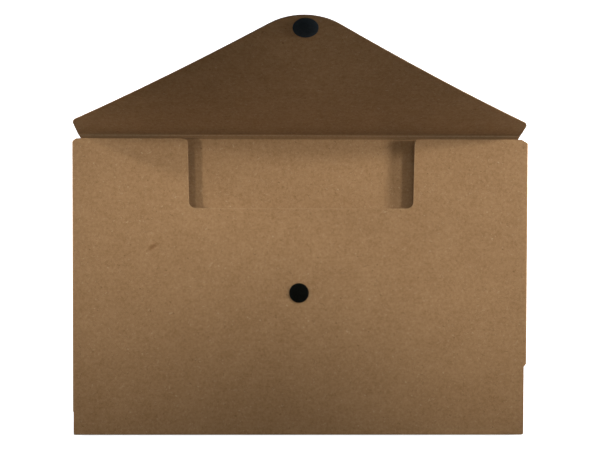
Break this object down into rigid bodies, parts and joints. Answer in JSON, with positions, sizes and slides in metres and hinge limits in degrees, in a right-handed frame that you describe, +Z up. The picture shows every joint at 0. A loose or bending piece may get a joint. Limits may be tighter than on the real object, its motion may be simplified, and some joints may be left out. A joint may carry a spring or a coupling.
{
  "type": "document folder",
  "caption": "Flat document pocket folded from kraft card, with a wide thumb cut, a narrow top spine and a pointed closing flap held by a hook and a loop dot.",
  "frame": {"origin": "middle of the pocket on the back panel's outer face, which lies on the table", "axes": "+X to the right along the bottom fold, +Y from the bottom fold to the flap's crease, +Z up through the pocket from the back panel to the front panel"},
  "size_m": [0.3496, 0.2818, 0.1252],
  "materials": {
    "card": "matte kraft card with fine fibres",
    "hooks": "black hook tape",
    "loops": "black loop tape with a short pile"
  },
  "bodies": {
    "pocket": {"pocket": "card", "loop_dot": "loops"},
    "top_spine": {"top_spine": "card"},
    "flap": {"flap": "card", "hook_dot": "hooks"}
  },
  "joints": [
    {"name": "spine_fold", "type": "hinge", "parent": "pocket", "child": "top_spine", "pos_m": [0, 0.11465, 0.00035], "axis": [1, 0, 0], "range_deg": [-61.4, 24]},
    {"name": "flap_fold", "type": "hinge", "parent": "top_spine", "child": "flap", "pos_m": [0, 0.11762, 0.00702], "axis": [1, 0, 0], "range_deg": [-5.7, 87.1]}
  ]
}
